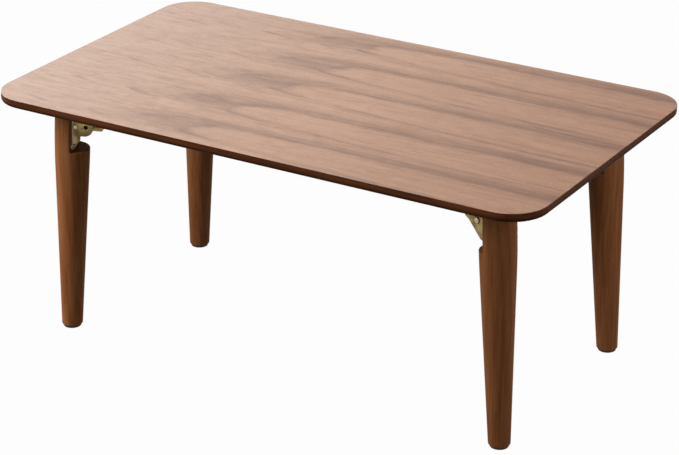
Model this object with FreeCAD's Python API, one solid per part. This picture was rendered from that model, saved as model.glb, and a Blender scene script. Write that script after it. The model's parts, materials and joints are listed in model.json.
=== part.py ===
"""Folding low table: veneered top on four turned legs that swing in under it on steel hinge brackets.

Millimetres. The table stands on z = 0 with its long side along x, its centre on the z axis and its front
at -y. A leg and its bracket are drawn once, in the leg's own frame: the origin is where the leg's axis
meets the underside, x points the way the leg folds, y to the left of that, and z up.
"""

import FreeCAD, Part
import math
import os
from FreeCAD import Vector

# Tabletop
top_length = 800.0
top_depth = 460.0
table_height = 352.0
top_thickness = 12.0
corner_radius = 50.0
veneer_thickness = 0.6
veneer_edge_round = 0.45
backing_thickness = 0.6
backing_inset = 8.0
under_edge_round = 3.5

# Where the legs stand in from the ends and sides, the way they fold from the x axis, and their lean
leg_end_inset = 82.0
leg_side_inset = 80.0
fold_azimuth = 22.5
leg_splay = 2.7
quarter_turn = 90.0
fold_turn = quarter_turn + leg_splay

# Turned leg: an arc from the head over the belly, then a straight taper down to the foot
leg_radius = 23.8
head_radius_share = 0.941
foot_radius_share = 0.6
belly_drop_share = 0.172
leg_top_play = 0.3
notch_length = 74.5
notch_flat_offset = 1.4
notch_corner_round = 3.0
ledge_edge_round = 0.8
foot_edge_round = 2.2
pad_thickness = 3.0
pad_radius = 12.2
pad_edge_round = 0.8

# Steel sheet of the bracket, and the plays between its parts
sheet = 1.6
side_play = 0.3
stop_play = 0.3
pin_play = 0.05
head_play = 0.1
dome_share = 0.75

# Hinge pivot: in from the leg's axis, and down from the underside
pivot_inset = 20.0
pivot_drop = 39.5
pivot_radius = 4.2
pivot_bore_radius = 3.1
pivot_head_radius = 5.8
pivot_lip_radius = 3.9
pivot_head_height = 1.1

# Leg plate: a web screwed to the leg's flat, with an ear on each side
plate_half_width = 14.4
web_top = 11.0
web_end_gap = 5.5
web_curl_radius = 2.8
ear_end_rise = 3.6
bend_radius = 2.6
ear_reach = 24.5
wide_ear_shares = [(-0.2, 0.72), (1.0, 0.42), (1.0, 0.0), (0.9, -0.1), (0.62, -0.22), (-0.28, -0.96)]
wide_ear_round = 1.2
cam_ear_hub_radius = 9.4
cam_ear_shoulder_shares = [(-0.351, -0.592), (-0.351, -0.776), (-0.56, -0.98)]
cam_steps = 12
cam_overtravel = 8.0
cam_slope_turn = 0.1

# Stop stud on the cam ear, level with the pivot and this far inboard of the leg's flat
stud_gap = 4.0
stud_radius = 2.3
stud_head_radius = 3.1
stud_head_height = 1.3

# Base bracket: a flange under the top with two cheeks bent down from it
flange_start = 7.5
flange_end = 66.0
flange_half_width = 24.0
flange_corner_radius = 6.0
cheek_hub_radius = 9.5
cheek_start = 4.7
cheek_end = 55.0
stop_shoulder_run = 4.4

# Catch lever beside the cam ear, and the rivet that carries it
lever_pivot_inset = 46.0
lever_pivot_drop = 16.0
lever_pin_radius = 2.5
lever_eye_radius = 5.6
lever_nose_radius = 2.2
lever_nose_angle = -12.0
lever_ratio = 0.1
lever_heel_inset = 40.0
lever_heel_drop = 41.6
lever_heel_radius = 2.8
thumb_tab_gap = 4.0
thumb_tab_width = 20.0
lever_head_radius = 4.2
lever_head_height = 1.4

# Torsion spring round the lever's rivet, with its plays to the rivet and to the thumb tab
spring_wire_radius = 0.45
spring_wire_sides = 8
spring_bore_play = 0.45
spring_turns = 4
spring_pitch = 1.0
spring_start = 0.25
spring_end_play = 0.15
spring_tab_play = 0.15
spring_foot_drop = 44.0

# Screws
screw_radius = 1.5
screw_head_radius = 3.3
screw_head_height = 1.6
base_screw_length = 8.5
leg_screw_length = 13.0
base_screw_insets = (14.5, 58.5)
base_screw_offset = 18.6
upper_screw_gap = 7.0
lower_screw_gap = 14.0
leg_screw_offset = 6.2

# Cuts run this far past the faces they go through, and edges are picked within this tolerance
overrun = 1.0
tolerance = 0.05

underside = table_height - top_thickness
leg_axis_x = top_length / 2 - leg_end_inset
leg_axis_y = top_depth / 2 - leg_side_inset
leg_length = (underside - pad_thickness) / math.cos(math.radians(leg_splay))
web_bottom = notch_length - web_end_gap
upper_screw_drop = web_top + upper_screw_gap
lower_screw_drop = web_bottom - lower_screw_gap
leg_screw_rows = [
    (upper_screw_drop, leg_screw_offset), (upper_screw_drop, -leg_screw_offset), (lower_screw_drop, 0)]
stud_inset = pivot_inset - notch_flat_offset - stud_gap
cheek_outer = plate_half_width - sheet - side_play
cheek_inner = cheek_outer - sheet
pivot = (pivot_inset, -pivot_drop)
lever_pivot = (lever_pivot_inset, -lever_pivot_drop)
lever_heel = (lever_heel_inset, -lever_heel_drop)
spring_mean_radius = lever_pin_radius + spring_bore_play + spring_wire_radius
thumb_tab_start = pivot_inset + cheek_hub_radius + thumb_tab_gap
thumb_tab_end = lever_pivot_inset - spring_mean_radius - spring_wire_radius - spring_tab_play
lever_tail_length = spring_start + 2 * spring_wire_radius + spring_turns * spring_pitch + spring_end_play
corners = {
    "front_left": (-leg_axis_x, -leg_axis_y, fold_azimuth),
    "front_right": (leg_axis_x, -leg_axis_y, 2 * quarter_turn - fold_azimuth),
    "back_left": (-leg_axis_x, leg_axis_y, -fold_azimuth),
    "back_right": (leg_axis_x, leg_axis_y, 2 * quarter_turn + fold_azimuth),
}


def save(shape, name):
    """Write one piece as its own STEP file."""
    shape.exportStep(os.path.join("parts", name + ".step"))


def at_corner(shape, corner):
    """Copy a piece from the leg's own frame to the leg at this corner."""
    x, y, azimuth = corners[corner]
    placed = shape.copy()
    placed.rotate(Vector(0, 0, 0), Vector(0, 0, 1), azimuth)
    placed.translate(Vector(x, y, underside))
    return placed


def turned(x, z, angle):
    """Turn a point of the fold plane about the origin, the way the leg folds for a positive angle."""
    a = math.radians(angle)
    return x * math.cos(a) - z * math.sin(a), x * math.sin(a) + z * math.cos(a)


def along_leg(across, down):
    """Fold-plane point this far inboard of the leg's axis and this far down it."""
    return turned(across, -down, -leg_splay)


def from_pivot(x, z):
    """Fold-plane point at this offset from the hinge pivot."""
    return pivot[0] + x, pivot[1] + z


def beside(point, y):
    """Put a fold-plane point at this distance to the side."""
    return Vector(point[0], y, point[1])


def slab(points, low, high):
    """Plate in the fold plane with this outline, between two distances to the side."""
    outline = [beside(point, low) for point in points]
    face = Part.Face(Part.makePolygon(outline + outline[:1]))
    return face.extrude(Vector(0, high - low, 0))


def disc(centre, radius, low, high):
    """Round bar across the fold plane, between two distances to the side."""
    return Part.makeCylinder(radius, high - low, beside(centre, low), Vector(0, 1, 0))


def side_line(first, first_radius, second, second_radius, side):
    """Ends of the line that touches two circles, on the left of the way between them for side 1."""
    run_x, run_z = second[0] - first[0], second[1] - first[1]
    way = math.degrees(math.atan2(run_z, run_x))
    lean = math.degrees(math.asin((first_radius - second_radius) / math.hypot(run_x, run_z)))
    ends = []
    for centre, radius in ((first, first_radius), (second, second_radius)):
        x, z = turned(radius, 0, way + side * (quarter_turn - lean))
        ends.append((centre[0] + x, centre[1] + z))
    return ends


def link(first, first_radius, second, second_radius, low, high):
    """Plate with two round ends and straight sides that touch them."""
    left = side_line(first, first_radius, second, second_radius, 1)
    right = side_line(first, first_radius, second, second_radius, -1)
    ends = [disc(first, first_radius, low, high), disc(second, second_radius, low, high)]
    return slab(left + right[::-1], low, high).fuse(ends).removeSplitter()


def rounded_rectangle(length, depth, radius, z):
    """Face with arc corners, centred on the z axis."""
    x, y = length / 2 - radius, depth / 2 - radius
    centres = [(x, y), (-x, y), (-x, -y), (x, -y)]
    arcs = []
    for count, (centre_x, centre_y) in enumerate(centres):
        centre = Vector(centre_x, centre_y, z)
        start = quarter_turn * count
        arcs.append(Part.makeCircle(radius, centre, Vector(0, 0, 1), start, start + quarter_turn))
    edges = []
    for arc, following in zip(arcs, arcs[1:] + arcs[:1]):
        edges.append(arc)
        edges.append(Part.makeLine(arc.Vertexes[-1].Point, following.Vertexes[0].Point))
    return Part.Face(Part.Wire(edges))


def base_screw_places():
    """Where the base screws go, as (x, y) in the leg's own frame."""
    return [(x, side * base_screw_offset) for x in base_screw_insets for side in (-1, 1)]


def base_screw_holes():
    """Pilot holes for the screws of every base bracket, in the table's frame."""
    holes = []
    for corner in corners:
        for x, y in base_screw_places():
            hole = Part.makeCylinder(screw_radius, base_screw_length - sheet, Vector(x, y, 0))
            holes.append(at_corner(hole, corner))
    return holes


def build_veneer():
    """Veneer over the whole top, with a softened rim."""
    face = rounded_rectangle(top_length, top_depth, corner_radius, table_height - veneer_thickness)
    veneer = face.extrude(Vector(0, 0, veneer_thickness))
    rim = [edge for edge in veneer.Edges if edge.BoundBox.ZMin > table_height - tolerance]
    return veneer.makeFillet(veneer_edge_round, rim)


def build_backing():
    """Thin sheet let into the underside."""
    inset = 2 * backing_inset
    face = rounded_rectangle(
        top_length - inset, top_depth - inset, corner_radius - backing_inset, underside)
    return face.extrude(Vector(0, 0, backing_thickness)).cut(base_screw_holes())


def build_core():
    """Core board with a rounded lower edge and the recess for its backing."""
    face = rounded_rectangle(top_length, top_depth, corner_radius, underside)
    core = face.extrude(Vector(0, 0, top_thickness - veneer_thickness))
    rim = [edge for edge in core.Edges if edge.BoundBox.ZMax < underside + tolerance]
    core = core.makeFillet(under_edge_round, rim)
    return core.cut(build_backing()).cut(base_screw_holes())


def leg_blank():
    """Turned leg on its own upright axis, longer than needed at both ends."""
    head_radius, foot_radius = head_radius_share * leg_radius, foot_radius_share * leg_radius
    belly_drop, belly_rise = belly_drop_share * leg_length, leg_radius - head_radius
    curve_radius = (belly_drop ** 2 + belly_rise ** 2) / (2 * belly_rise)
    curve_centre = (leg_radius - curve_radius, -belly_drop)
    taper = side_line(curve_centre, curve_radius, (foot_radius, -leg_length), 0, 1)
    head, belly = Vector(head_radius, 0, 0), Vector(leg_radius, 0, -belly_drop)
    taper_start, foot = [beside(point, 0) for point in taper]
    past = Vector(0, 0, leg_radius)
    bottom = Vector(0, 0, -leg_length) - past
    outline = [
        Part.makeLine(past, head + past),
        Part.makeLine(head + past, head),
        Part.Arc(head, belly, taper_start).toShape(),
        Part.makeLine(taper_start, foot),
        Part.makeLine(foot, foot - past),
        Part.makeLine(foot - past, bottom),
        Part.makeLine(bottom, past),
    ]
    return Part.Face(Part.Wire(outline)).revolve(Vector(0, 0, 0), Vector(0, 0, 1), 4 * quarter_turn)


def leg_notch():
    """Block that takes away the inboard half of the leg's head, with a rounded inner corner."""
    width = 4 * leg_radius
    notch = Part.makeBox(
        width, width, notch_length + leg_radius, Vector(notch_flat_offset, -width / 2, -notch_length))
    corner = [
        edge for edge in notch.Edges
        if edge.BoundBox.XMax < notch_flat_offset + tolerance
        and edge.BoundBox.ZMax < tolerance - notch_length
    ]
    return notch.makeFillet(notch_corner_round, corner)


def build_leg():
    """Leaning turned leg, level at both ends, notched for the leg plate."""
    leg = leg_blank()
    notch = leg_notch()
    for shape in (leg, notch):
        shape.rotate(Vector(0, 0, 0), Vector(0, 1, 0), leg_splay)
    width = 4 * leg_radius
    foot_z = pad_thickness - underside
    level = Part.makeBox(width, width, -foot_z - leg_top_play, Vector(-width / 2, -width / 2, foot_z))
    leg = leg.common(level)
    foot_rim = [edge for edge in leg.Edges if edge.BoundBox.ZMax < foot_z + tolerance]
    leg = leg.makeFillet(foot_edge_round, foot_rim).cut(notch)

    ledge_x, ledge_z = along_leg(notch_flat_offset + leg_radius / 2, notch_length)
    ledge_rim = [
        edge for edge in leg.Edges
        if edge.BoundBox.XMax > ledge_x and abs(edge.CenterOfMass.z - ledge_z) < notch_corner_round
    ]
    leg = leg.makeFillet(ledge_edge_round, ledge_rim)
    return leg.cut([leg_screw_bar(row, screw_radius, 0, -leg_screw_length) for row in leg_screw_rows])


def build_foot_pad():
    """Low round glide under the foot."""
    foot_x = along_leg(0, leg_length)[0]
    pad = Part.makeCylinder(pad_radius, pad_thickness, Vector(foot_x, 0, -underside))
    rim = [edge for edge in pad.Edges if edge.BoundBox.ZMax < tolerance - underside]
    return pad.makeFillet(pad_edge_round, rim)


def leg_screw_bar(row, radius, start, end):
    """Round bar square to the leg's flat at one screw's place, between two heights over the flat."""
    down, side = row
    first = beside(along_leg(notch_flat_offset + start, down), side)
    last = beside(along_leg(notch_flat_offset + end, down), side)
    return Part.makeCylinder(radius, (last - first).Length, first, last - first)


def build_leg_screws():
    """Screws that hold the leg plate to the leg."""
    screws = []
    for row in leg_screw_rows:
        shank = leg_screw_bar(row, screw_radius, sheet, -leg_screw_length)
        head = leg_screw_bar(row, screw_head_radius, sheet, sheet + screw_head_height)
        outer_rim = max(head.Edges, key=lambda edge: edge.CenterOfMass.x)
        head = head.makeChamfer(screw_head_height / 2, [outer_rim])
        screws.append(shank.fuse(head).removeSplitter())
    return Part.makeCompound(screws)


def build_base_screws():
    """Screws that hold the base bracket up to the top."""
    screws = []
    for x, y in base_screw_places():
        shank = Part.makeCylinder(screw_radius, base_screw_length, Vector(x, y, -sheet))
        head_bottom = Vector(x, y, -sheet - screw_head_height)
        head = Part.makeCylinder(screw_head_radius, screw_head_height, head_bottom)
        lower_rim = min(head.Edges, key=lambda edge: edge.BoundBox.ZMax)
        head = head.makeChamfer(screw_head_height / 2, [lower_rim])
        screws.append(shank.fuse(head).removeSplitter())
    return Part.makeCompound(screws)


def nose_place(turn):
    """Centre of the lever's nose from the hinge pivot, once the leg has turned this far."""
    out = cam_ear_hub_radius + stop_play + lever_nose_radius
    rest_x, rest_z = turned(out, 0, lever_nose_angle)
    lever_x, lever_z = lever_pivot[0] - pivot[0], lever_pivot[1] - pivot[1]
    x, z = turned(rest_x - lever_x, rest_z - lever_z, lever_ratio * turn)
    return lever_x + x, lever_z + z


def cam_point(turn):
    """Point of the cam ear that faces the nose after this turn, from the hinge pivot, leg at rest."""
    x, z = turned(*nose_place(turn), -turn)
    later = turn + cam_slope_turn
    later_x, later_z = turned(*nose_place(later), -later)
    run = math.hypot(later_x - x, later_z - z)
    gap = (lever_nose_radius + stop_play) / run
    return x + (later_z - z) * gap, z - (later_x - x) * gap


def ear_root():
    """Where an ear joins the web, as its lower and upper ends on the leg's flat."""
    return [along_leg(notch_flat_offset, web_bottom - ear_end_rise), along_leg(notch_flat_offset, web_top)]


def cam_ear_outline():
    """Face of the cam ear: round the pivot, then the cam, its shoulder, and back along the web."""
    near = -plate_half_width
    step = (fold_turn + cam_overtravel) / cam_steps
    cam_points = [beside(from_pivot(*cam_point(step * count)), near) for count in range(cam_steps + 1)]
    cam = Part.BSplineCurve()
    cam.interpolate(cam_points)
    hub_top = beside(from_pivot(0, cam_ear_hub_radius), near)
    hub_middle = turned(cam_ear_hub_radius, 0, (quarter_turn + lever_nose_angle) / 2)
    hub = Part.Arc(hub_top, beside(from_pivot(*hub_middle), near), cam_points[0])
    shoulder = [from_pivot(x * ear_reach, z * ear_reach) for x, z in cam_ear_shoulder_shares]
    straight = [cam_points[-1]] + [beside(point, near) for point in shoulder + ear_root()] + [hub_top]
    lines = [Part.makeLine(start, end) for start, end in zip(straight, straight[1:])]
    return Part.Face(Part.Wire([hub.toShape(), cam.toShape()] + lines))


def build_wide_ear():
    """Ear on the left of the fold: a plain plate that reaches past the pivot."""
    reach = [from_pivot(x * ear_reach, z * ear_reach) for x, z in wide_ear_shares]
    ear = slab(ear_root() + reach, plate_half_width - sheet, plate_half_width)
    outer_corners = [
        edge for edge in ear.Edges
        if edge.BoundBox.XLength < tolerance and edge.BoundBox.ZLength < tolerance
        and edge.BoundBox.XMin > pivot[0] + ear_reach / 2
    ]
    return ear.makeFillet(wide_ear_round, outer_corners)


def build_web():
    """Flat web of the leg plate on the leg's flat."""
    inner = notch_flat_offset + sheet
    outline = [
        along_leg(notch_flat_offset, web_top),
        along_leg(inner, web_top),
        along_leg(inner, web_bottom),
        along_leg(notch_flat_offset, web_bottom),
    ]
    return slab(outline, -plate_half_width, plate_half_width)


def rounded_bends(plate):
    """Plate with the outer corners between its web and its ears rounded, as bent sheet has them."""
    middle = along_leg(notch_flat_offset, (web_top + web_bottom) / 2)
    bends = [
        edge for edge in plate.Edges
        if edge.Length > web_bottom - web_top - ear_end_rise - tolerance
        and min(edge.distToShape(Part.Vertex(beside(middle, side * plate_half_width)))[0]
                for side in (-1, 1)) < tolerance
    ]
    return plate.makeFillet(bend_radius, bends)


def build_leg_plate():
    """Web with a curled lower end and both ears, with the holes for pivot, stud and screws."""
    cam_ear = cam_ear_outline().extrude(Vector(0, sheet, 0))
    plate = rounded_bends(build_web().fuse([cam_ear, build_wide_ear()]).removeSplitter())
    curl_centre = along_leg(notch_flat_offset + web_curl_radius, web_bottom)
    plate = plate.fuse(disc(curl_centre, web_curl_radius, -plate_half_width, plate_half_width))
    far = plate_half_width + overrun
    holes = [
        disc(curl_centre, web_curl_radius - sheet, -far, far),
        disc(pivot, pivot_radius + pin_play, -far, far),
        disc(from_pivot(-stud_inset, 0), stud_radius, -far, -cheek_inner),
    ]
    holes += [leg_screw_bar(row, screw_radius, -overrun, sheet + overrun) for row in leg_screw_rows]
    return plate.cut(holes)


def domed_head(centre, radius, height, outer):
    """Rivet head on the right of the fold, from this far out, with a domed rim."""
    head = disc(centre, radius, -outer - height, -outer)
    rim = [edge for edge in head.Edges if edge.BoundBox.YMax < tolerance - outer - height]
    return head.makeFillet(height * dome_share, rim)


def build_stop_stud():
    """Headed stud on the cam ear that meets the cheek when the leg is fully open."""
    centre = from_pivot(-stud_inset, 0)
    shank = disc(centre, stud_radius, -plate_half_width, -cheek_inner)
    head = domed_head(centre, stud_head_radius, stud_head_height, plate_half_width)
    return shank.fuse(head).removeSplitter()


def build_pivot_rivet():
    """Hollow rivet through both cheeks and both ears, flared at each end."""
    end = plate_half_width + head_play
    rivet = disc(pivot, pivot_radius, -end, end)
    for side in (-1, 1):
        flare = Part.makeCone(
            pivot_head_radius, pivot_lip_radius, pivot_head_height,
            beside(pivot, side * end), Vector(0, side, 0))
        rivet = rivet.fuse(flare)
    far = end + pivot_head_height + overrun
    return rivet.cut(disc(pivot, pivot_bore_radius, -far, far)).removeSplitter()


def cheek_outline():
    """Outline of one cheek: the stop shoulder, down to the pivot, and up past the lever's rivet."""
    shoulder_z = pivot[1] + stud_radius + stop_play
    hub_side = pivot[0] - cheek_hub_radius
    left = [
        (cheek_start, -sheet / 2),
        (cheek_start, shoulder_z),
        (cheek_start + stop_shoulder_run, shoulder_z),
        (hub_side, pivot[1] + stud_radius),
        (hub_side, pivot[1]),
    ]
    right = side_line(pivot, cheek_hub_radius, lever_pivot, lever_eye_radius, -1)
    return left + [pivot] + right + [(cheek_end, -sheet / 2)]


def build_base_bracket():
    """Flange with four screw holes and a pair of cheeks, bored for the pivot and the lever's rivet."""
    flange = rounded_rectangle(
        flange_end - flange_start, 2 * flange_half_width, flange_corner_radius, -sheet)
    flange.translate(Vector((flange_start + flange_end) / 2, 0, 0))
    bracket = flange.extrude(Vector(0, 0, sheet))
    for low, high in ((-cheek_outer, -cheek_inner), (cheek_inner, cheek_outer)):
        hub = disc(pivot, cheek_hub_radius, low, high)
        eye = disc(lever_pivot, lever_eye_radius, low, high)
        bracket = bracket.fuse([slab(cheek_outline(), low, high), hub, eye])
    far = cheek_outer + overrun
    holes = [disc(pivot, pivot_radius, -far, far), disc(lever_pivot, lever_pin_radius, -far, 0)]
    for x, y in base_screw_places():
        holes.append(Part.makeCylinder(screw_radius, sheet + 2 * overrun, Vector(x, y, -sheet - overrun)))
    return bracket.removeSplitter().cut(holes)


def build_catch_lever():
    """Lever: an eye, an arm down to the heel, a nose at the cam, and a thumb tab bent in under the cheek."""
    low, high = -plate_half_width, -plate_half_width + sheet
    nose = from_pivot(*nose_place(0))
    arm = link(lever_pivot, lever_eye_radius, lever_heel, lever_heel_radius, low, high)
    bar = link(lever_heel, lever_heel_radius, nose, lever_nose_radius, low, high)
    tab_length = thumb_tab_end - thumb_tab_start
    tab = Part.makeBox(
        tab_length, thumb_tab_width, sheet, Vector(thumb_tab_start, low, nose[1] - lever_nose_radius))
    tab_corners = [edge for edge in tab.Edges if edge.BoundBox.YMin > low + thumb_tab_width - tolerance
                   and edge.BoundBox.ZLength > sheet / 2]
    tab = tab.makeFillet(min(lever_nose_radius, tab_length / 2 - tolerance), tab_corners)
    bore = disc(lever_pivot, lever_pin_radius + pin_play, low - overrun, high + overrun)
    return arm.fuse([bar, tab]).removeSplitter().cut(bore)


def build_lever_rivet():
    """Rivet that carries the lever outside the cheek and the spring inside it."""
    outer = plate_half_width + head_play
    inner = -cheek_inner + lever_tail_length
    shank = disc(lever_pivot, lever_pin_radius, -outer, inner)
    head = domed_head(lever_pivot, lever_head_radius, lever_head_height, outer)
    tail = disc(lever_pivot, lever_head_radius, inner, inner + lever_head_height / 2)
    return shank.fuse([head, tail]).removeSplitter()


def build_lever_spring():
    """Torsion spring: a coil round the rivet, with one leg up to the flange and one down to the tab."""
    start = -cheek_inner + spring_start + spring_wire_radius
    coil = Part.makeHelix(spring_pitch, spring_turns * spring_pitch, spring_mean_radius, 0, True)
    coil.rotate(Vector(0, 0, 0), Vector(1, 0, 0), -quarter_turn)
    coil.rotate(Vector(0, 0, 0), Vector(0, 1, 0), 2 * quarter_turn)
    coil.translate(beside(lever_pivot, start))
    first, last = coil.Edges[0].Vertexes[0].Point, coil.Edges[-1].Vertexes[-1].Point
    top = Vector(first.x, first.y, -sheet - stop_play)
    foot = Vector(last.x, last.y, -spring_foot_drop)
    path = Part.Wire([Part.makeLine(top, first)] + coil.Edges + [Part.makeLine(last, foot)])
    corner_angles = [4 * quarter_turn * count / spring_wire_sides for count in range(spring_wire_sides)]
    wire_corners = [turned(spring_wire_radius, 0, angle) for angle in corner_angles]
    corner_points = [top + Vector(x, y, 0) for x, y in wire_corners]
    section = Part.makePolygon(corner_points + corner_points[:1])
    return path.makePipeShell([section], True, True)


def build_leg_units():
    """Make each piece of one leg and its bracket, then set a copy at every corner."""
    pieces = {
        "leg": build_leg(),
        "foot_pad": build_foot_pad(),
        "leg_plate": build_leg_plate(),
        "leg_screws": build_leg_screws(),
        "stop_stud": build_stop_stud(),
        "base_bracket": build_base_bracket(),
        "base_screws": build_base_screws(),
        "pivot_rivet": build_pivot_rivet(),
        "catch_lever": build_catch_lever(),
        "lever_rivet": build_lever_rivet(),
        "lever_spring": build_lever_spring(),
    }
    for name, shape in pieces.items():
        for corner in corners:
            save(at_corner(shape, corner), corner + "_" + name)


os.makedirs("parts", exist_ok=True)
save(build_veneer(), "top_veneer")
save(build_core(), "top_core")
save(build_backing(), "underside_sheet")
build_leg_units()
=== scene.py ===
import bmesh
import bpy
import json
import math
import numpy as np
from mathutils import Matrix, Vector


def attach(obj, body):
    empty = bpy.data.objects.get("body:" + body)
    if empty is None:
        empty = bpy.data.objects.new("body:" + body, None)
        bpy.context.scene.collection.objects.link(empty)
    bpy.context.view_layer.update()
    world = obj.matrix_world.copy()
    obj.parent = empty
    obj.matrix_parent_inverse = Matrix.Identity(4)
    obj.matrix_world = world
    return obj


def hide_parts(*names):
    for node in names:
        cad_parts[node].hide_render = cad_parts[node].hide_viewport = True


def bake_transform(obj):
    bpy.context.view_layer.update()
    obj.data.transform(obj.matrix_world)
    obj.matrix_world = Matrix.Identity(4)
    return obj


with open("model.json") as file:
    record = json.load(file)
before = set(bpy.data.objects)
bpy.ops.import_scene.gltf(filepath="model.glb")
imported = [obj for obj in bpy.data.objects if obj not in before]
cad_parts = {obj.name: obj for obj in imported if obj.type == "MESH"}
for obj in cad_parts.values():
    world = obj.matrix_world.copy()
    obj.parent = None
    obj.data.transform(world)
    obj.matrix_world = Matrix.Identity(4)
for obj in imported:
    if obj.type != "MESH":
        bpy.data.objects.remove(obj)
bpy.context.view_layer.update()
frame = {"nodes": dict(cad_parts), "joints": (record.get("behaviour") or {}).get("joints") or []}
print("frame loaded:", len(frame["nodes"]), "nodes")

corners = ["front_left", "front_right", "back_left", "back_right"]
mm = 0.001


# small helpers for node trees

def newGroup(name, inputs, outputs):
    group = bpy.data.node_groups.new(name, "ShaderNodeTree")
    for label, kind, value in inputs:
        socket = group.interface.new_socket(label, in_out="INPUT", socket_type=kind)
        if value is not None:
            socket.default_value = value
    for label, kind in outputs:
        group.interface.new_socket(label, in_out="OUTPUT", socket_type=kind)
    group.nodes.new("NodeGroupInput")
    group.nodes.new("NodeGroupOutput")
    return group


def groupEnds(group):
    ins = next(n for n in group.nodes if n.bl_idname == "NodeGroupInput").outputs
    outs = next(n for n in group.nodes if n.bl_idname == "NodeGroupOutput").inputs
    return ins, outs


def put(tree, socket, value):
    if isinstance(value, bpy.types.NodeSocket):
        tree.links.new(value, socket)
    else:
        socket.default_value = value


def calc(tree, operation, *values, clamp=False):  # one Math node, returns its output
    node = tree.nodes.new("ShaderNodeMath")
    node.operation = operation
    node.use_clamp = clamp
    for socket, value in zip(node.inputs, values):
        put(tree, socket, value)
    return node.outputs[0]


def plus(tree, first, second):
    return calc(tree, "ADD", first, second)


def minus(tree, first, second):
    return calc(tree, "SUBTRACT", first, second)


def times(tree, first, second):
    return calc(tree, "MULTIPLY", first, second)


def span(tree, value, low, high, outLow=0.0, outHigh=1.0, smooth=True):  # clamped map range
    node = tree.nodes.new("ShaderNodeMapRange")
    node.interpolation_type = "SMOOTHSTEP" if smooth else "LINEAR"
    for label, given in (("Value", value), ("From Min", low), ("From Max", high),
                         ("To Min", outLow), ("To Max", outHigh)):
        put(tree, node.inputs[label], given)
    return node.outputs["Result"]


def noise(tree, vector, scale, detail=2.0, rough=0.5, distortion=0.0):
    node = tree.nodes.new("ShaderNodeTexNoise")
    put(tree, node.inputs["Vector"], vector)
    put(tree, node.inputs["Scale"], scale)
    put(tree, node.inputs["Detail"], detail)
    put(tree, node.inputs["Roughness"], rough)
    put(tree, node.inputs["Distortion"], distortion)
    return node.outputs["Fac"]


def sway(tree, place, look, reach):  # noise that swings about zero, to each side by its reach at most
    return times(tree, minus(tree, noise(tree, place, *look), 0.5), 2 * reach)


def combine(tree, x, y, z=0.0):
    node = tree.nodes.new("ShaderNodeCombineXYZ")
    for socket, value in zip(node.inputs, (x, y, z)):
        put(tree, socket, value)
    return node.outputs[0]


def axesOf(tree, place):  # the three axes of a place, as outputs
    node = tree.nodes.new("ShaderNodeSeparateXYZ")
    put(tree, node.inputs[0], place)
    return node.outputs


def stretch(tree, first, second, scales, third=0.0):  # a place for a noise, longer one way than the other
    return combine(tree, times(tree, first, scales[0]), times(tree, second, scales[1]), third)


def blendColour(tree, factor, first, second, mode="MIX"):
    node = tree.nodes.new("ShaderNodeMix")
    node.data_type = "RGBA"
    node.blend_type = mode
    put(tree, node.inputs[0], factor)
    put(tree, node.inputs[6], first)
    put(tree, node.inputs[7], second)
    return node.outputs[2]


def blendValue(tree, factor, first, second):
    node = tree.nodes.new("ShaderNodeMix")
    node.data_type = "FLOAT"
    put(tree, node.inputs[0], factor)
    put(tree, node.inputs[2], first)
    put(tree, node.inputs[3], second)
    return node.outputs[0]


def tint(tree, factor, colour, shade):  # as much of a tint over a colour as the factor says
    return blendColour(tree, factor, colour, (*shade, 1), "MULTIPLY")


def darken(tree, colour, share):  # keeps this share of a colour
    return blendColour(tree, 1.0, colour, combine(tree, share, share, share), "MULTIPLY")


def useGroup(tree, group, **values):
    node = tree.nodes.new("ShaderNodeGroup")
    node.node_tree = group
    for label, value in values.items():
        put(tree, node.inputs[label], value)
    return node


def linear(red, green, blue):  # a colour in steps of 0 to 255, as the shader wants it
    def channel(value):
        value = value / 255
        return value / 12.92 if value <= 0.04045 else ((value + 0.055) / 1.055) ** 2.4
    return channel(red), channel(green), channel(blue), 1.0


def newMaterial(name, **constants):
    material = bpy.data.materials.new(name)
    material.use_nodes = True
    tree = material.node_tree
    shader = tree.nodes["Principled BSDF"]
    for label, value in constants.items():
        shader.inputs[label.replace("_", " ")].default_value = value
    place = tree.nodes.new("ShaderNodeTexCoord").outputs["Object"]
    return material, tree, shader, place


def bumpFrom(tree, shader, height, strength, distance):
    node = tree.nodes.new("ShaderNodeBump")
    put(tree, node.inputs["Height"], height)
    put(tree, node.inputs["Strength"], strength)
    put(tree, node.inputs["Distance"], distance)
    tree.links.new(node.outputs[0], shader.inputs["Normal"])


# veneer: one arch of the figure, opening to the right, as a distance that is positive inside it

def buildArchGroup():
    group = newGroup("veneerArch", [
        ("Along", "NodeSocketFloat", 0.0), ("Across", "NodeSocketFloat", 0.0),
        ("Tip", "NodeSocketFloat", -100.0), ("Axis", "NodeSocketFloat", 0.0),
        ("Rise", "NodeSocketFloat", 40.0), ("Reach", "NodeSocketFloat", 26.0),
        ("Fall", "NodeSocketFloat", 1.5), ("Blunt", "NodeSocketFloat", 0.4),
    ], [("Inside", "NodeSocketFloat")])
    ins, outs = groupEnds(group)
    across = minus(group, ins["Across"], ins["Axis"])
    ahead = minus(group, ins["Along"], ins["Tip"])
    run = calc(group, "MAXIMUM", ahead, 0.0)
    fade = calc(group, "EXPONENT", calc(group, "DIVIDE", times(group, run, -1.0), ins["Reach"]))
    upper = times(group, ins["Rise"], minus(group, 1.0, fade))
    lower = times(group, ins["Fall"], calc(group, "SQRT", run))
    fromUpper = plus(group, across, upper)
    fromLower = minus(group, lower, across)
    fromTip = times(group, ahead, ins["Blunt"])
    put(group, outs["Inside"], calc(group, "MINIMUM", calc(group, "MINIMUM", fromUpper, fromLower), fromTip))
    return group


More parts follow.
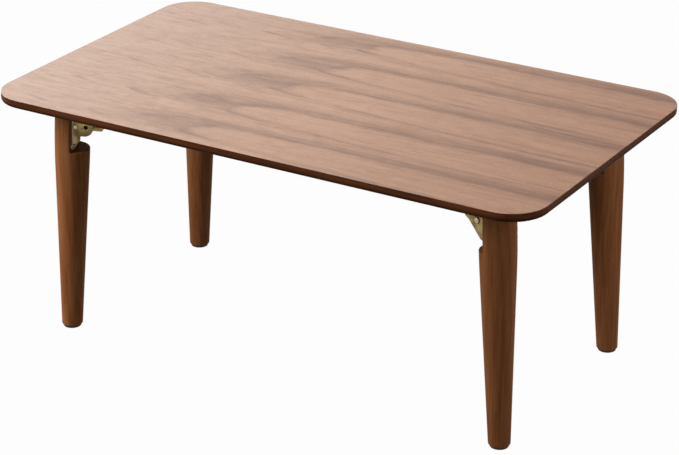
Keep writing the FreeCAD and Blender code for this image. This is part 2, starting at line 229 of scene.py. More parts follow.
figure = {  # millimetres; a noise has scale, detail and roughness; a range has two ends, then what they give
    "leafWidth": 92.5,
    "firstAxis": 165.0,  # the back leaf's axis, as a Y place
    "leafTop": 63.0,  # a leaf starts this far behind its axis
    "oddLeafShift": -4.0,
    "middleLeaf": 2.0,
    "leafDrift": 11.0,  # each leaf's tips lie this much further left
    "leafSeed": 3.7,  # how far apart the noises of two leaves are
    "tipWander": 12.0,
    "wanderSeed": 3.0,
    "warpAlong": 24.0,
    "warpAcross": 4.0,
    "warpScales": (0.012, 0.035),
    "warpAlongNoise": (1.0, 4.0, 0.6),
    "warpAcrossNoise": (1.7, 3.0, 0.55),
    "raggedAlong": 24.0,  # fine fibres that break the arches' outlines
    "raggedAcross": 3.0,
    "raggedScales": (0.022, 0.3),
    "raggedAlongNoise": (1.0, 3.0, 0.65),
    "raggedAcrossNoise": (1.6, 2.0, 0.6),
    "arches": [  # tip, axis, rise, reach, then darkness of the ring outside it, of its line, of its hook
        (-372.0, 6.0, 74.0, 50.0, 0.0, 0.12, 0.22),
        (-322.0, -4.0, 68.0, 50.0, 0.1, 0.16, 0.32),
        (-228.0, -3.0, 59.0, 62.0, 0.12, 0.14, 0.5),
        (-176.0, -2.0, 53.0, 43.0, 0.4, 0.08, 0.0),
        (-84.0, -3.0, 40.0, 19.0, 1.0, 0.22, 0.42),
        (30.0, -12.0, 20.0, 70.0, 0.12, 0.2, 0.0),
        (190.0, -6.0, 12.0, 60.0, 0.1, 0.14, 0.0),
    ],
    "armFall": 1.5,  # how fast the lower arms fall away
    "tipBlunt": 0.4,
    "lowerArmFade": (-34.0, 8.0, 1.0, 0.5),  # rings are paler in the lower arms
    "upperSlope": (-130.0, 0.0, 0.35, 0.7),  # how late a ring gets dark, from the tips to the arms
    "lowerSlope": (-130.0, 0.0, 1.0, 2.5),
    "slopeChange": (-6.0, 10.0),
    "softness": (-90.0, 60.0, 15.0, 11.0),  # arch ends are more ragged than arms
    "edgeStart": -1.5,
    "leastGap": 0.01,
    "outerFlow": 0.06,  # how fast the grain runs outside the arches
    "flowScale": 0.004,
    "leftPaleness": (-20.0, 260.0, 0.78, 1.05),
    "tipDarkness": (-130.0, 0.0, 0.3, 0.0),
    "rightDarkness": (230.0, 390.0, 0.0, 0.45),
    "cloudScales": (0.014, 0.1),
    "cloudNoise": (1.0, 3.0, 0.55),
    "cloudRange": (0.32, 0.68, 0.82, 1.15),
    "threadScales": (0.008, 0.42),
    "threadNoise": (1.0, 3.0, 0.6),
    "threadRange": (0.34, 0.66, 0.62, 1.4),
    "threadShare": (-90.0, 20.0, 0.35, 1.0),  # the arms are made of thin lines
    "breakScales": (0.011, 0.03),
    "breakNoise": (1.0, 2.0),
    "breakRange": (0.44, 0.6, 0.0, 1.7),  # lines come and go
    "lineWidth": 3.0,
    "hookWidth": 6.0,
    "hookLength": 68.0,
    "hookSide": (-3.0, 2.0),  # a hook is the start of the lower arm
}


def buildFigureGroup(arch):  # Flow is a place that runs with the arches, for the fine grain
    group = newGroup("veneerFigure", [("Vector", "NodeSocketVector", None)],
                     [("Darkness", "NodeSocketFloat"), ("Flow", "NodeSocketVector")])
    ins, outs = groupEnds(group)
    x, y = (times(group, axis, 1 / mm) for axis in axesOf(group, ins["Vector"])[:2])

    # leaves side by side, each with its own tips
    start = figure["firstAxis"] + figure["leafTop"]
    leafPlace = calc(group, "DIVIDE", minus(group, start, y), figure["leafWidth"])
    leaf = calc(group, "FLOOR", leafPlace)
    leafSeed = times(group, leaf, figure["leafSeed"])
    across = times(group, minus(group, leafPlace, leaf), figure["leafWidth"])
    across = minus(group, across, figure["leafTop"])
    odd = calc(group, "MODULO", leaf, 2.0)
    across = plus(group, across, times(group, odd, figure["oddLeafShift"]))
    random = group.nodes.new("ShaderNodeTexWhiteNoise")
    random.noise_dimensions = "1D"
    put(group, random.inputs["W"], plus(group, leaf, figure["wanderSeed"]))
    wander = times(group, minus(group, random.outputs["Value"], 0.5), figure["tipWander"])
    drift = times(group, minus(group, leaf, figure["middleLeaf"]), figure["leafDrift"])
    along = plus(group, x, plus(group, drift, wander))
    for kind in ("warp", "ragged"):
        place = stretch(group, x, y, figure[kind + "Scales"])
        along = plus(group, along, sway(group, place, figure[kind + "AlongNoise"], figure[kind + "Along"]))
        sideways = sway(group, place, figure[kind + "AcrossNoise"], figure[kind + "Across"])
        across = plus(group, across, sideways)

    # rings between the arches, darkest at the inner edge of each
    insides = []
    for tip, axis, rise, reach, *tones in figure["arches"]:
        node = useGroup(group, arch, Along=along, Across=across, Tip=tip, Axis=axis, Rise=rise, Reach=reach,
                        Fall=figure["armFall"], Blunt=figure["tipBlunt"])
        insides.append(node.outputs[0])
    upperSlope = span(group, along, *figure["upperSlope"])
    lowerSlope = span(group, along, *figure["lowerSlope"])
    slope = span(group, across, *figure["slopeChange"], upperSlope, lowerSlope)
    softness = span(group, along, *figure["softness"])
    ringTotal = 0.0
    flow = times(group, calc(group, "MINIMUM", insides[0], 0.0), figure["outerFlow"])
    for outer, inner, values in zip(insides, insides[1:], figure["arches"][1:]):
        gap = calc(group, "MAXIMUM", minus(group, outer, inner), figure["leastGap"])
        phase = calc(group, "DIVIDE", outer, gap, clamp=True)
        flow = plus(group, flow, phase)
        edge = span(group, inner, figure["edgeStart"], softness, 1.0, 0.0)
        dark = times(group, calc(group, "POWER", phase, slope), edge)
        ringTotal = plus(group, ringTotal, times(group, dark, values[4]))
    flow = plus(group, flow, times(group, calc(group, "MAXIMUM", insides[-1], 0.0), figure["outerFlow"]))
    ringTotal = times(group, ringTotal, span(group, across, *figure["lowerArmFade"]))
    strength = span(group, x, *figure["leftPaleness"], smooth=False)
    strength = plus(group, strength, span(group, x, *figure["tipDarkness"]))
    strength = plus(group, strength, span(group, x, *figure["rightDarkness"]))
    ringTotal = times(group, ringTotal, strength)
    place = stretch(group, along, across, figure["cloudScales"], leafSeed)
    clouds = noise(group, place, *figure["cloudNoise"])
    ringTotal = times(group, ringTotal, span(group, clouds, *figure["cloudRange"]))
    place = stretch(group, along, across, figure["threadScales"], leafSeed)
    threads = span(group, noise(group, place, *figure["threadNoise"]), *figure["threadRange"])
    threadShare = span(group, x, *figure["threadShare"])
    ringTotal = times(group, ringTotal, blendValue(group, threadShare, 1.0, threads))

    # thin lines on the arches, and hooks where their lower arms start
    alongScale, acrossScale = figure["breakScales"]
    place = combine(group, times(group, along, alongScale), leafSeed, times(group, across, acrossScale))
    broken = span(group, noise(group, place, *figure["breakNoise"]), *figure["breakRange"])
    lineTotal = 0.0
    for inside, (tip, axis, rise, reach, ringTone, lineTone, hookTone) in zip(insides, figure["arches"]):
        apart = calc(group, "ABSOLUTE", inside)
        thin = span(group, apart, 0.0, figure["lineWidth"], 1.0, 0.0)
        wide = span(group, apart, 0.0, figure["hookWidth"], 1.0, 0.0)
        below = span(group, across, *(axis + side for side in figure["hookSide"]))
        hook = span(group, along, tip, tip + figure["hookLength"], hookTone, 0.0)
        line = times(group, times(group, broken, lineTone), thin)
        hook = times(group, times(group, hook, below), wide)
        lineTotal = plus(group, lineTotal, plus(group, line, hook))
    put(group, outs["Darkness"], plus(group, ringTotal, lineTotal))
    put(group, outs["Flow"], combine(group, times(group, along, figure["flowScale"]), flow, leaf))
    return group


grainLook = {
    "streakNoise": (180.0, 5.0, 0.62, 0.25),
    "poreNoise": (1500.0, 2.0, 0.5),
    "poreRange": (0.6, 0.72),
}


def buildGrainGroup():  # fine streaks and pores along the first axis of its Vector
    group = newGroup("woodGrain", [
        ("Vector", "NodeSocketVector", None), ("Length", "NodeSocketFloat", 0.05),
        ("Width", "NodeSocketFloat", 1.0),
    ], [("Streaks", "NodeSocketFloat"), ("Pores", "NodeSocketFloat")])
    ins, outs = groupEnds(group)
    x, y, z = axesOf(group, ins["Vector"])
    place = stretch(group, x, y, (ins["Length"], ins["Width"]), times(group, z, ins["Width"]))
    put(group, outs["Streaks"], noise(group, place, *grainLook["streakNoise"]))
    pores = noise(group, place, *grainLook["poreNoise"])
    put(group, outs["Pores"], span(group, pores, *grainLook["poreRange"]))
    return group


arch = buildArchGroup()
veneerFigure = buildFigureGroup(arch)
woodGrain = buildGrainGroup()

veneerLook = {  # places in metres; noises and ranges as above, and a noise's fourth value is its distortion
    "tones": [(204, 175, 159), (207, 168, 145), (191, 147, 121)],  # left end, middle, right end; darker to the right, partly the veneer's own tone and partly painted shade
    "halfLength": 0.4,
    "ringTint": (0.6, 0.585, 0.6),
    "streakTint": (0.8, 0.78, 0.76),
    "grain": {"Length": 0.05, "Width": 0.8},
    "lineNoise": (9.0, 4.0, 0.65),  # lines that run with the arches
    "lineRange": (0.42, 0.72),
    "lineShare": (-0.4, 0.3, 0.22, 0.36),
    "streakRange": (0.3, 0.75),
    "streakShare": 0.42,
    "markScales": (26.0, 105.0),  # short wavy marks
    "markNoise": (1.0, 3.0, 0.6, 1.2),
    "markRange": (0.4, 0.7),
    "markShare": (-0.15, 0.1, 0.55, 0.32),
    "mottleNoise": (45.0, 4.0, 0.6),
    "mottleRange": (0.35, 0.7, 0.0, 0.3),
    "fleckNoise": (210.0, 2.0, 0.6),
    "fleckRange": (0.42, 0.68, 0.0, 0.3),
    "poreShare": 0.25,
    "poreBump": (0.15, -0.00005),
    "roughness": (0.5, 0.58),
    "specular": 0.3,
}


def buildVeneerMaterial():
    look = veneerLook
    material, tree, shader, place = newMaterial("topVeneer", Specular_IOR_Level=look["specular"])
    fig = useGroup(tree, veneerFigure, Vector=place)
    grain = useGroup(tree, woodGrain, Vector=place, **look["grain"])
    x, y = axesOf(tree, place)[:2]
    # tone along the top, darker to the right: partly its own tone, partly painted shade
    toMiddle = span(tree, x, -look["halfLength"], 0.0, smooth=False)
    toRight = span(tree, x, 0.0, look["halfLength"], smooth=False)
    left, middle, right = (linear(*tone) for tone in look["tones"])
    colour = blendColour(tree, toRight, blendColour(tree, toMiddle, left, middle), right)
    colour = tint(tree, fig.outputs["Darkness"], colour, look["ringTint"])
    lines = span(tree, noise(tree, fig.outputs["Flow"], *look["lineNoise"]), *look["lineRange"])
    streaks = span(tree, grain.outputs["Streaks"], *look["streakRange"])
    marks = noise(tree, stretch(tree, x, y, look["markScales"]), *look["markNoise"])
    marks = span(tree, marks, *look["markRange"])
    for share in (
        times(tree, lines, span(tree, x, *look["lineShare"])),
        times(tree, streaks, look["streakShare"]),
        times(tree, marks, span(tree, x, *look["markShare"])),
        span(tree, noise(tree, place, *look["mottleNoise"]), *look["mottleRange"]),
        span(tree, noise(tree, place, *look["fleckNoise"]), *look["fleckRange"]),
    ):
        colour = tint(tree, share, colour, look["streakTint"])
    pores = times(tree, grain.outputs["Pores"], look["poreShare"])
    colour = tint(tree, pores, colour, look["ringTint"])
    put(tree, shader.inputs["Base Color"], colour)
    put(tree, shader.inputs["Roughness"], span(tree, streaks, 0.0, 1.0, *look["roughness"]))
    bumpFrom(tree, shader, grain.outputs["Pores"], *look["poreBump"])
    return material


legLook = {
    "light": (154, 99, 61),
    "dark": (129, 77, 41),
    "pore": (50, 28, 15),
    "grain": {"Length": 0.05, "Width": 1.2},
    "streakRange": (0.3, 0.7),
    "poreShare": 0.4,
    "poreBump": (0.2, -0.00008),
    "shadedLegShare": 0.76,  # painted shade: how much of their colour the front-right and back-left legs keep
    "shadedLegChange": 0.02,
    "roughness": (0.56, 0.62),
    "specular": 0.05,
}


def buildLegMaterial():
    look = legLook
    material, tree, shader, place = newMaterial("legWood", Specular_IOR_Level=look["specular"])
    x, y, z = axesOf(tree, place)
    upright = combine(tree, z, x, y)  # grain runs up the leg
    grain = useGroup(tree, woodGrain, Vector=upright, **look["grain"])
    streaks = span(tree, grain.outputs["Streaks"], *look["streakRange"])
    colour = blendColour(tree, streaks, linear(*look["light"]), linear(*look["dark"]))
    board = times(tree, x, y)  # painted shade on two opposite legs, the front-right and back-left, by the sign of x times y
    share = span(tree, board, -look["shadedLegChange"], look["shadedLegChange"], look["shadedLegShare"], 1.0)
    colour = darken(tree, colour, share)
    pores = times(tree, grain.outputs["Pores"], look["poreShare"])
    colour = blendColour(tree, pores, colour, linear(*look["pore"]))
    put(tree, shader.inputs["Base Color"], colour)
    put(tree, shader.inputs["Roughness"], span(tree, streaks, 0.0, 1.0, *look["roughness"]))
    bumpFrom(tree, shader, grain.outputs["Pores"], *look["poreBump"])
    return material


boardLook = {
    "edge": (97, 55, 33),
    "streak": (75, 42, 25),
    "grain": {"Length": 0.05, "Width": 1.0},
    "streakRange": (0.35, 0.7),
    "shade": 0.3,  # painted shade: how dark the edge gets toward its rounded bottom, and between which heights over it
    "paintedShadeLow": 0.0018,
    "paintedShadeHigh": 0.0072,
    "roughness": 0.45,
    "specular": 0.015,
}


def buildBoardMaterial():
    look = boardLook
    material, tree, shader, place = newMaterial("boardEdge", Specular_IOR_Level=look["specular"])
    grain = useGroup(tree, woodGrain, Vector=place, **look["grain"])
    streaks = span(tree, grain.outputs["Streaks"], *look["streakRange"])
    colour = blendColour(tree, streaks, linear(*look["edge"]), linear(*look["streak"]))
    height = axesOf(tree, place)[2]
    bottom = min(corner[2] for corner in frame["nodes"]["top_core"].bound_box)
    low, high = bottom + look["paintedShadeLow"], bottom + look["paintedShadeHigh"]
    # painted shade, darker toward the edge's rounded bottom
    colour = darken(tree, colour, span(tree, height, low, high, look["shade"], 1.0))
    put(tree, shader.inputs["Base Color"], colour)
    put(tree, shader.inputs["Roughness"], look["roughness"])
    return material


backingLook = {
    "tone": (104, 78, 58),
    "streakShare": 0.7,  # how much of the tone a streak keeps
    "grain": {"Length": 0.06, "Width": 0.7},
    "streakRange": (0.3, 0.7),
    "roughness": 0.7,
}


def buildBackingMaterial():
    look = backingLook
    material, tree, shader, place = newMaterial("backingSheet")
    grain = useGroup(tree, woodGrain, Vector=place, **look["grain"])
    streaks = span(tree, grain.outputs["Streaks"], *look["streakRange"])
    tone = linear(*look["tone"])
    dark = (*(look["streakShare"] * value for value in tone[:3]), 1.0)
    put(tree, shader.inputs["Base Color"], blendColour(tree, streaks, tone, dark))
    put(tree, shader.inputs["Roughness"], look["roughness"])
    return material


padLook = {"tone": (34, 30, 28), "roughness": 0.85}


def buildPadMaterial():
    material, tree, shader, place = newMaterial("footPad", Roughness=padLook["roughness"])
    put(tree, shader.inputs["Base Color"], linear(*padLook["tone"]))
    return material


plateBend = {  # where the leg plates lie, in metres and degrees
    "legX": 0.318,
    "legY": 0.15,
    "azimuth": 22.5,
    "splay": 2.7,
    "underside": 0.34,
    "reach": 0.0052,
    "reachFade": 0.0008,
    "halfWidth": 0.0144,
    "highlightWidth": (0.0028, 0.0018),  # from the plate's edge, where the painted highlight starts and is full
}


def paintedBendHighlight(tree, place):  # 1 along the bends of the leg plates, where a bright highlight is painted
    x, y, z = axesOf(tree, place)
    fromX = minus(tree, plateBend["legX"], calc(tree, "ABSOLUTE", x))  # every corner laid on one
    fromY = minus(tree, plateBend["legY"], calc(tree, "ABSOLUTE", y))
    turn, splay = math.radians(plateBend["azimuth"]), math.radians(plateBend["splay"])
    inward = plus(tree, times(tree, fromX, math.cos(turn)), times(tree, fromY, math.sin(turn)))
    aside = minus(tree, times(tree, fromY, math.cos(turn)), times(tree, fromX, math.sin(turn)))
    down = minus(tree, plateBend["underside"], z)
    inward = plus(tree, inward, times(tree, down, math.tan(splay)))
    flat = span(tree, inward, plateBend["reach"] - plateBend["reachFade"], plateBend["reach"], 1.0, 0.0)
    low, high = (plateBend["halfWidth"] - width for width in plateBend["highlightWidth"])
    return times(tree, flat, span(tree, calc(tree, "ABSOLUTE", aside), low, high))


steelLook = {
    "plating": (168, 147, 92),
    "platingDeep": (112, 93, 50),
    # painted highlight along the bends of the leg plates
    "bendHighlightTone": (238, 222, 206),
    "platingClouds": (60.0, 3.0, 0.6),
    "platingRange": (0.35, 0.65),
    "platingMetallic": (0.6, 0.5),  # sound, then at the painted highlight
    "platingRoughness": (0.3, 0.9, 0.34, 0.7),
    "spring": (120, 120, 122),
    "springRoughness": 0.35,
}
smallSteels = {  # tone, metallic, the noise of its clouds, and the range that they give to the roughness
    "brightSteel": ((200, 196, 186), 1.0, (220.0, 3.0, 0.6), (0.3, 0.7, 0.2, 0.36)),
    "rivetDome": ((180, 160, 112), 0.8, (160.0, 3.0, 0.6), (0.35, 0.65, 0.14, 0.22)),  # polished when set
    "rivetFootShade": ((66, 50, 26), 0.2, (160.0, 3.0, 0.6), (0.35, 0.65, 0.6, 0.8)),  # painted shade round its foot
}


def buildPlatedMaterial():
    material, tree, shader, place = newMaterial("platedSteel")
    clouds = noise(tree, place, *steelLook["platingClouds"])
    thin = span(tree, clouds, *steelLook["platingRange"])
    colour = blendColour(tree, thin, linear(*steelLook["plating"]), linear(*steelLook["platingDeep"]))
    # painted highlight along the bends, pale and less metallic
    bendHighlight = paintedBendHighlight(tree, place)
    colour = blendColour(tree, bendHighlight, colour, linear(*steelLook["bendHighlightTone"]))
    rough = calc(tree, "MAXIMUM", clouds, bendHighlight)
    put(tree, shader.inputs["Base Color"], colour)
    put(tree, shader.inputs["Metallic"], span(tree, bendHighlight, 0.0, 1.0, *steelLook["platingMetallic"]))
    put(tree, shader.inputs["Roughness"], span(tree, rough, *steelLook["platingRoughness"]))
    return material


def buildSmallSteel(name):
    tone, metallic, clouds, roughness = smallSteels[name]
    material, tree, shader, place = newMaterial(name, Metallic=metallic)
    put(tree, shader.inputs["Base Color"], linear(*tone))
    put(tree, shader.inputs["Roughness"], span(tree, noise(tree, place, *clouds), *roughness))
    return material


def buildSpringMaterial():
    material, tree, shader, place = newMaterial("springSteel", Metallic=1.0)
    put(tree, shader.inputs["Base Color"], linear(*steelLook["spring"]))
    put(tree, shader.inputs["Roughness"], steelLook["springRoughness"])
    return material


slotMaterials = {
    "veneer": buildVeneerMaterial(),
    "board": buildBoardMaterial(),
    "backing": buildBackingMaterial(),
    "leg_wood": buildLegMaterial(),
    "pad": buildPadMaterial(),
    "plated_steel": buildPlatedMaterial(),
    "bright_steel": buildSmallSteel("brightSteel"),
    "spring_steel": buildSpringMaterial(),
}
nodeSlots = {
    "top_veneer": "veneer",
    "top_core": "board",
    "underside_sheet": "backing",
    "leg": "leg_wood",
    "foot_pad": "pad",
    "leg_plate": "plated_steel",
    "base_bracket": "plated_steel",
    "catch_lever": "plated_steel",
    "leg_screws": "bright_steel",
    "base_screws": "bright_steel",
    "stop_stud": "bright_steel",
    "pivot_rivet": "bright_steel",
    "lever_rivet": "bright_steel",
    "lever_spring": "spring_steel",
}
ownFinishes = {  # nodes that look unlike the rest of their slot
    "stop_stud": buildSmallSteel("rivetDome"),
    "lever_rivet": slotMaterials["plated_steel"],
}


def kindOf(name):
    for corner in corners:
        name = name.removeprefix(corner + "_")
    return name


for name, obj in frame["nodes"].items():
    slotName = nodeSlots[kindOf(name)]
    obj.data.materials.clear()
    obj.data.materials.append(ownFinishes.get(kindOf(name), slotMaterials[slotName]))
print("materials on the frame")


# screws with a cross recess and rivets with a dome, in place of the plain ones of the frame

screwLook = {  # lengths in millimetres
    "headRadius": 3.3,
    "headHeight": 1.6,
    "rimHeight": 0.5,
    "shankRadius": 1.5,
    "recessReach": 1.9,
    "recessWidth": 0.75,
    "recessDepth": 1.0,
    "segments": 28,
    "crownSteps": 6,
    "crownPower": 0.6,  # under 1, the crown is flatter on top
    "headShare": 0.8,  # points further out than this share of the widest are the head's
    "twistSeed": 7,
}
mergeDistance = 1e-6  # metres


def mergedMesh(node):  # a copy of a node's mesh, with its loose triangles joined
    made = bmesh.new()
    made.from_mesh(node.data)
    bmesh.ops.remove_doubles(made, verts=made.verts, dist=mergeDistance)
    return made


def meshIslands(node):  # vertex places of each separate solid in a node
    made = mergedMesh(node)
    left = set(made.verts)
    islands = []
    while left:
        found, edge = [], [left.pop()]
        while edge:
            vert = edge.pop()
            found.append(tuple(vert.co))
            for link in vert.link_edges:
                other = link.other_vert(vert)
                if other in left:
                    left.remove(other)
                    edge.append(other)
        islands.append(np.array(found))
    made.free()
    return islands


def screwAxis(points):  # head's top, way out of the head, whole length
    centre = points.mean(0)
    way = np.linalg.svd(points - centre, full_matrices=False)[2][0]
    run = (points - centre) @ way
    spread = np.linalg.norm(points - centre - np.outer(run, way), axis=1)
    inHead = spread > screwLook["headShare"] * spread.max()
    if run[inHead].mean() < (run.max() + run.min()) / 2:
        way, run = -way, -run
    head = points[inHead]
    middle = (head.max(0) + head.min(0)) / 2
    top = middle + way * ((centre + way * run.max() - middle) @ way)
    return Vector(top), Vector(way), run.max() - run.min()


def lengths(look, *keys):  # a piece's millimetres, in metres
    return [look[key] * mm for key in keys]


def meshObject(name, made):
    data = bpy.data.meshes.new(name)
    made.to_mesh(data)
    made.free()
    obj = bpy.data.objects.new(name, data)
    bpy.context.scene.collection.objects.link(obj)
    return obj


def smoothTo(made, degrees):  # smooth faces, with edges sharp past this turn
    for face in made.faces:
        face.smooth = True
    for edge in made.edges:
        edge.smooth = edge.calc_face_angle(0) < math.radians(degrees)


def jointLine(name):  # a point on a joint's axis, and its way
    joint = next(joint for joint in frame["joints"] if joint["name"] == name)
    return Vector(joint["pos_m"]), Vector(joint["axis"])


def turnedSolid(profile, segments):  # a profile of radius and height, turned about z
    made = bmesh.new()
    rings = []
    for radius, height in profile:
        if radius == 0.0:
            rings.append([made.verts.new((0, 0, height))])
            continue
        ring = []
        for step in range(segments):
            turn = 2 * math.pi * step / segments
            ring.append(made.verts.new((radius * math.cos(turn), radius * math.sin(turn), height)))
        rings.append(ring)
    for low, high in zip(rings, rings[1:]):
        for step in range(max(len(low), len(high))):
            around = [low[step % len(low)], low[(step + 1) % len(low)],
                      high[(step + 1) % len(high)], high[step % len(high)]]
            made.faces.new(list(dict.fromkeys(around)))  # a triangle where one ring is a point
    bmesh.ops.recalc_face_normals(made, faces=made.faces)
    return made


def buildScrewMesh(name, length):  # its head's top at the origin
    shank, head = lengths(screwLook, "shankRadius", "headRadius")
    headHeight, rimHeight = lengths(screwLook, "headHeight", "rimHeight")
    profile = [(0.0, -length), (shank, -length + shank), (shank, -headHeight), (head, -headHeight)]
    rise = headHeight - rimHeight
    for step in range(screwLook["crownSteps"]):
        turn = math.pi / 2 * step / screwLook["crownSteps"]
        radius = head * math.cos(turn) ** screwLook["crownPower"]
        profile.append((radius, -rise + rise * math.sin(turn)))
    profile.append((0.0, 0.0))
    return meshObject(name, turnedSolid(profile, screwLook["segments"]))


def cutRecess(screw):
    reach, width, depth = lengths(screwLook, "recessReach", "recessWidth", "recessDepth")
    for size in ((2 * reach, width), (width, 2 * reach)):
        bpy.ops.mesh.primitive_cube_add(size=1)
        cutter = bpy.context.object
        cutter.data.transform(Matrix.Diagonal((size[0], size[1], 2 * depth, 1)))
        cutting = screw.modifiers.new("recess", "BOOLEAN")
        cutting.object = cutter
        cutting.solver = "EXACT"
        bpy.context.view_layer.update()
        cutMesh = bpy.data.meshes.new_from_object(screw.evaluated_get(bpy.context.evaluated_depsgraph_get()))
        screw.modifiers.clear()
        screw.data = cutMesh
        bpy.data.objects.remove(cutter)
    return screw


def buildPartTree():  # puts a screw or rivet on each point, turned to its own way out
    tree = bpy.data.node_groups.new("partSet", "GeometryNodeTree")
    for label, kind in (("Geometry", "Geometry"), ("Part", "Object"), ("Twist Seed", "Int"),
                        ("Finish", "Material"), ("Dome Finish", "Material"), ("Foot Finish", "Material")):
        tree.interface.new_socket(label, in_out="INPUT", socket_type="NodeSocket" + kind)
    tree.interface.new_socket("Geometry", in_out="OUTPUT", socket_type="NodeSocketGeometry")
    ins = tree.nodes.new("NodeGroupInput").outputs
    outs = tree.nodes.new("NodeGroupOutput").inputs
    link = tree.links.new
    way = tree.nodes.new("GeometryNodeInputNamedAttribute")
    way.data_type = "FLOAT_VECTOR"
    way.inputs["Name"].default_value = "way"
    aim = tree.nodes.new("FunctionNodeAlignRotationToVector")
    aim.axis = "Z"
    link(way.outputs["Attribute"], aim.inputs["Vector"])
    twist = tree.nodes.new("FunctionNodeRandomValue")
    twist.data_type = "FLOAT_VECTOR"
    twist.inputs[0].default_value = (0, 0, 0)
    twist.inputs[1].default_value = (0, 0, math.pi / 2)
    link(ins["Twist Seed"], twist.inputs["Seed"])
    info = tree.nodes.new("GeometryNodeObjectInfo")
    link(ins["Part"], info.inputs["Object"])
    place = tree.nodes.new("GeometryNodeInstanceOnPoints")
    link(ins["Geometry"], place.inputs["Points"])
    link(info.outputs["Geometry"], place.inputs["Instance"])
    link(aim.outputs[0], place.inputs["Rotation"])
    spin = tree.nodes.new("GeometryNodeRotateInstances")
    link(place.outputs[0], spin.inputs["Instances"])
    link(twist.outputs[0], spin.inputs["Rotation"])
    real = tree.nodes.new("GeometryNodeRealizeInstances")
    link(spin.outputs[0], real.inputs[0])
    finish = tree.nodes.new("GeometryNodeSetMaterial")
    link(real.outputs[0], finish.inputs["Geometry"])
    link(ins["Finish"], finish.inputs["Material"])
    zone = tree.nodes.new("GeometryNodeInputNamedAttribute")
    zone.data_type = "INT"
    zone.inputs["Name"].default_value = "zone"
    for number, label in ((domeZone, "Dome Finish"), (footZone, "Foot Finish")):
        same = tree.nodes.new("FunctionNodeCompare")
        same.data_type = "INT"
        same.operation = "EQUAL"
        link(zone.outputs["Attribute"], same.inputs[2])
        same.inputs[3].default_value = number
        over = tree.nodes.new("GeometryNodeSetMaterial")
        link(finish.outputs[0], over.inputs["Geometry"])
        link(same.outputs[0], over.inputs["Selection"])
        link(ins[label], over.inputs["Material"])
        finish = over
    link(finish.outputs[0], outs[0])
    return tree


def socketId(tree, label):
    inputs = [item for item in tree.interface.items_tree if item.in_out == "INPUT"]
    return next(item.identifier for item in inputs if item.name == label)


def placeParts(name, node, body, part, axes, finishes):  # axes: each part's place and its way out
    data = bpy.data.meshes.new(name)
    data.from_pydata([axis[0] for axis in axes], [], [])
    way = data.attributes.new("way", "FLOAT_VECTOR", "POINT")
    for item, axis in zip(way.data, axes):
        item.vector = axis[1]
    points = bpy.data.objects.new(name, data)
    bpy.context.scene.collection.objects.link(points)
    fill = points.modifiers.new("parts", "NODES")
    fill.node_group = partTree
    fill[socketId(partTree, "Part")] = part
    fill[socketId(partTree, "Twist Seed")] = screwLook["twistSeed"]
    for label, finish in zip(("Finish", "Dome Finish", "Foot Finish"), finishes):
        fill[socketId(partTree, label)] = finish
    bpy.context.view_layer.update()
    solid = bpy.data.meshes.new_from_object(points.evaluated_get(bpy.context.evaluated_depsgraph_get()))
    points.modifiers.clear()
    points.data = solid
    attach(points, body)
    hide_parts(node)


def buildAllScrews():
    finishes = 3 * [slotMaterials["bright_steel"]]
    for kind in ("base_screws", "leg_screws"):
        length = screwAxis(meshIslands(frame["nodes"]["front_left_" + kind])[0])[2]
        screw = cutRecess(buildScrewMesh(kind, length))
        for corner in corners:
            node = corner + "_" + kind
            body = "table" if kind == "base_screws" else corner + "_leg_unit"
            axes = [screwAxis(points) for points in meshIslands(frame["nodes"][node])]
            axes.sort(key=lambda axis: tuple(round(value, 5) for value in axis[0]))
            placeParts(node + "_crossed", node, body, screw, axes, finishes)
        bpy.data.objects.remove(screw)


rivetLook = {  # lengths in millimetres
    "footRadius": 5.2,
    "footHeight": 0.6,
    "domeRadius": 4.3,
    "domeHeight": 3.0,
    "boreDepth": 12.0,
    "segments": 48,
    "domeSteps": 8,
    "sharpTurn": 35.0,  # degrees, past which an edge stays sharp
    "near": 0.01,  # two radii or heights this close are the same
}
domeZone, footZone = 1, 2  # faces with a finish of their own; the foot's is a painted shade


def buildRivetMesh(node, pivot, axis):  # the node's own radii and heights, with a dome in place of one flare
    runs = np.array([(vertex.co - pivot) @ axis for vertex in node.data.vertices])
    places = [pivot + axis * run for run in runs]
    radii = np.array([(vertex.co - place).length for vertex, place in zip(node.data.vertices, places)])
    near, boreDepth, footHeight = lengths(rivetLook, "near", "boreDepth", "footHeight")
    footRadius, domeRadius, domeHeight = lengths(rivetLook, "footRadius", "domeRadius", "domeHeight")
    lipRun, headRadius, bore = runs.max(), radii.max(), radii.min()
    seat = abs(runs[radii > headRadius - near]).min()
    lip = radii[runs > lipRun - near].max()
    shank = radii[abs(runs) < seat + near].min()
    floorRun = lipRun - boreDepth
    foot = -seat - footHeight
    profile = []
    for step in range(rivetLook["domeSteps"] + 1):
        turn = math.pi / 2 * step / rivetLook["domeSteps"]
        profile.append((domeRadius * math.sin(turn), foot - (domeHeight - footHeight) * math.cos(turn)))
    profile += [(footRadius, -seat), (shank, -seat), (shank, seat), (headRadius, seat),
                (lip, lipRun), (bore, lipRun), (bore, floorRun), (0.0, floorRun)]
    made = turnedSolid(profile, rivetLook["segments"])
    smoothTo(made, rivetLook["sharpTurn"])
    zone = made.faces.layers.int.new("zone")
    for face in made.faces:
        height = face.calc_center_median().z
        if height < foot:
            face[zone] = domeZone
        elif height < near - seat:
            # the ring at the dome's foot takes the painted shade
            face[zone] = footZone
    return meshObject("pivot_rivet", made)


def buildAllRivets():  # domed on the plain ear's side and hollow on the other
    finishes = [slotMaterials["plated_steel"], ownFinishes["stop_stud"], buildSmallSteel("rivetFootShade")]
    rivet = buildRivetMesh(frame["nodes"]["front_left_pivot_rivet"], *jointLine("front_left_leg_fold"))
    for corner in corners:
        axes = [jointLine(corner + "_leg_fold")]
        placeParts(corner + "_domed_rivet", corner + "_pivot_rivet", "table", rivet, axes, finishes)
    bpy.data.objects.remove(rivet)


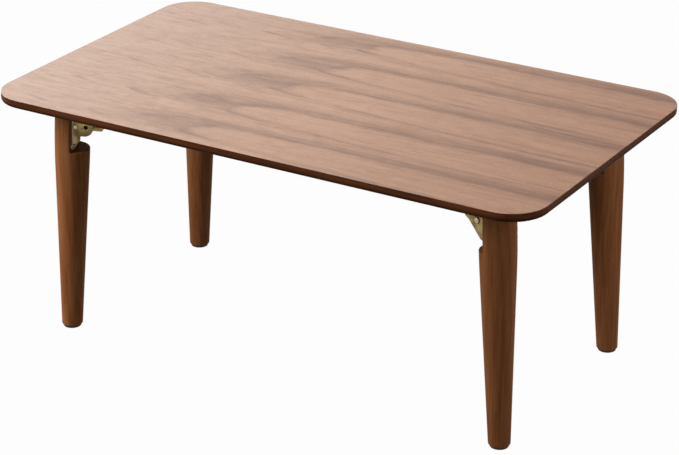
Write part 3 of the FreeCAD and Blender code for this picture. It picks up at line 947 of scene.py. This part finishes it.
partTree = buildPartTree()
buildAllScrews()
print("screws built")
buildAllRivets()
print("rivets built")


# lever springs, copies of the frame's with their triangles joined and smooth shading

springLook = {
    "legHold": 0.9,  # millimetres at each end of the coil
    "sharpTurn": 60.0,  # degrees, past which an edge of the wire stays sharp
}


def buildWindingSpring(corner):
    node = frame["nodes"][corner + "_lever_spring"]
    made = mergedMesh(node)
    smoothTo(made, springLook["sharpTurn"])
    spring = meshObject(corner + "_winding_spring", made)
    spring.data.materials.append(slotMaterials["spring_steel"])
    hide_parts(node.name)
    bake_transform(spring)


for corner in corners:
    buildWindingSpring(corner)
print("springs built")


# floor, background and lights

stageLook = {
    "floorSize": 60.0,
    "floorColour": (0.21, 0.2, 0.185, 1),
    "floorGlow": 0.98,  # what the camera sees of the floor before its own light
    "ambient": 0.08,
}


def seenStraight(tree):  # 1 for rays from the camera, a gloss or glass, and 0 for those that light things
    path = tree.nodes.new("ShaderNodeLightPath").outputs
    seen = calc(tree, "MAXIMUM", path["Is Camera Ray"], path["Is Glossy Ray"])
    return calc(tree, "MAXIMUM", seen, path["Is Transmission Ray"])


def buildFloor():
    bpy.ops.mesh.primitive_plane_add(size=stageLook["floorSize"])
    floor = bpy.context.object
    floor.name = "floor"
    material, tree, shader, place = newMaterial("paleFloor", Roughness=1.0, Specular_IOR_Level=0.0)
    put(tree, shader.inputs["Base Color"], stageLook["floorColour"])
    glow = tree.nodes.new("ShaderNodeEmission")
    mix = tree.nodes.new("ShaderNodeMixShader")
    put(tree, mix.inputs[0], times(tree, seenStraight(tree), stageLook["floorGlow"]))
    tree.links.new(shader.outputs[0], mix.inputs[1])
    tree.links.new(glow.outputs[0], mix.inputs[2])
    tree.links.new(mix.outputs[0], tree.nodes["Material Output"].inputs["Surface"])
    floor.data.materials.append(material)


def buildWorld():
    world = bpy.data.worlds.new("studio")
    bpy.context.scene.world = world
    world.use_nodes = True
    tree = world.node_tree
    background = tree.nodes["Background"]
    background.inputs["Color"].default_value = (1, 1, 1, 1)
    strength = span(tree, seenStraight(tree), 0.0, 1.0, stageLook["ambient"], 1.0, smooth=False)
    put(tree, background.inputs["Strength"], strength)


lampAim = (0, 0, 0.25)
lamps = {  # place, size and power
    "key": ((-2.1, -2.1, 1.8), 1.7, 97.0),
    "overhead": ((-1.2, 0.2, 1.9), 1.2, 24.0),
    "fill": ((1.7, 0.0, 0.75), 0.9, 8.5),
}


def buildLamps():
    for name, (place, size, power) in lamps.items():
        data = bpy.data.lights.new(name, "AREA")
        data.size = size
        data.energy = power
        lamp = bpy.data.objects.new(name, data)
        lamp.location = place
        lamp.rotation_euler = (Vector(lampAim) - Vector(place)).to_track_quat("-Z", "Y").to_euler()
        bpy.context.scene.collection.objects.link(lamp)


camera = {  # metres and degrees, solved from the table's rim and feet
    "place": (1.54826, -2.54514, 1.48984),
    "azimuth": 31.239,
    "pitch": 24.003,
    "roll": -0.102,
    "lens": 128.924,  # millimetres, as the next
    "sensor": 36,
}


def buildCamera():
    data = bpy.data.cameras.new("photoCamera")
    data.lens = camera["lens"]
    data.sensor_width = camera["sensor"]
    obj = bpy.data.objects.new("photoCamera", data)
    bpy.context.scene.collection.objects.link(obj)
    bpy.context.scene.camera = obj
    azimuth, pitch, roll = (math.radians(camera[key]) for key in ("azimuth", "pitch", "roll"))
    turn = Matrix.Rotation(azimuth, 4, "Z") @ Matrix.Rotation(math.pi / 2 - pitch, 4, "X")
    obj.matrix_world = Matrix.Translation(camera["place"]) @ turn @ Matrix.Rotation(roll, 4, "Z")


buildFloor()
buildWorld()
buildLamps()
buildCamera()
bpy.context.scene.view_settings.view_transform = "Standard"
print("stage, lamps and camera ready")
